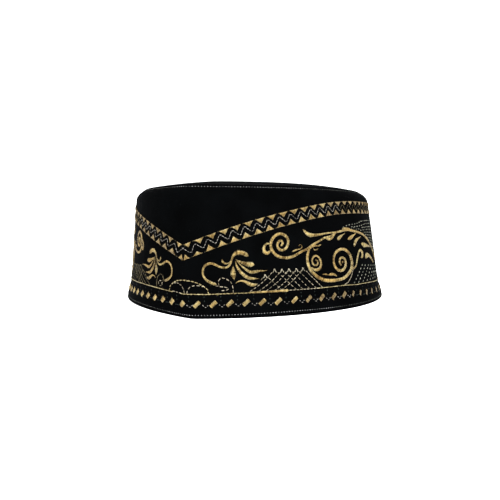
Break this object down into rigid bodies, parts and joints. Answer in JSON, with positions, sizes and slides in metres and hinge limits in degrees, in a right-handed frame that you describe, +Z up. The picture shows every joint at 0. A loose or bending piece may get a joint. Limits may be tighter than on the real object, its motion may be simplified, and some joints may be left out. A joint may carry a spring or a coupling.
{
  "type": "songkok",
  "caption": "Brimless oval velvet cap with a creased front, tapering sides and a domed top, embroidered all round in gold and cream thread.",
  "frame": {"origin": "on the surface the cap rests on, under the middle of the cap", "axes": "+Z up through the crown, -Y towards the front crease, +Y towards the back seam, +X towards the long side in the picture"},
  "size_m": [0.1704, 0.2174, 0.0751],
  "materials": {
    "black_velvet": "short dense velvet pile, near black, with a soft blue-grey sheen at the edges",
    "gold_thread": "satin-stitched gold thread with a soft metallic lustre",
    "cream_thread": "twisted cream and off-white sewing thread, matt"
  },
  "bodies": {
    "root": {"side_band": "black_velvet", "crown": "black_velvet"}
  },
  "joints": []
}
